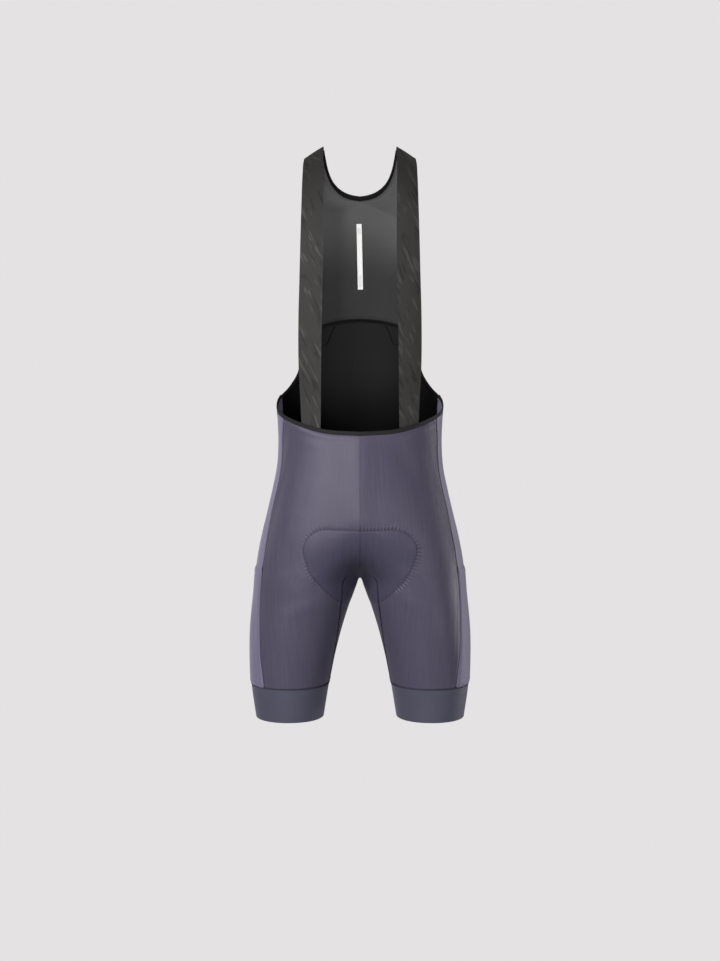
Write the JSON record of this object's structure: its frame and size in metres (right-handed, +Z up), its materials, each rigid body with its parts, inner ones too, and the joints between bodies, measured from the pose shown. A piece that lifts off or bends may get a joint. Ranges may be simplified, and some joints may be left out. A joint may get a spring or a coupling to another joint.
{
  "type": "cycling bib shorts",
  "caption": "Hollow cycling bib shorts held in their worn shape: panelled legs with grippers, inner seat pad, cut-away mesh bib and flat shoulder straps.",
  "frame": {"origin": "between the two shoulders, at the height of the tops of the straps, where the wearer holds the garment up", "axes": "+Z up, the front faces -Y, the wearer's left is at +X"},
  "size_m": [0.3566, 0.2311, 0.9081],
  "materials": {
    "knit": "smooth warp knit with a soft sheen",
    "side_knit": "ribbed power knit with a soft sheen",
    "grip": "raw-cut elastic band, matt",
    "black_knit": "matt knit",
    "mesh": "sheer open mesh",
    "webbing": "flat woven elastic, matt",
    "grey_tape": "folded elastic binding",
    "black_tape": "folded elastic binding",
    "padding": "brushed knit over foam",
    "satin": "woven satin tape"
  },
  "bodies": {
    "root": {"front_left": "knit", "front_right": "knit", "back_left": "knit", "back_right": "knit", "gusset": "knit", "side_left": "side_knit", "side_right": "side_knit", "leg_pocket_left": "side_knit", "leg_pocket_right": "side_knit", "gripper_left": "grip", "gripper_right": "grip", "lower_back": "black_knit", "back_pocket": "black_knit", "yoke": "mesh", "strap_left": "webbing", "strap_right": "webbing", "waist_binding": "grey_tape", "neck_binding": "black_tape", "armhole_binding_left": "black_tape", "armhole_binding_right": "black_tape", "arch_band": "black_tape", "seat_pad": "padding", "label": "satin"}
  },
  "joints": []
}
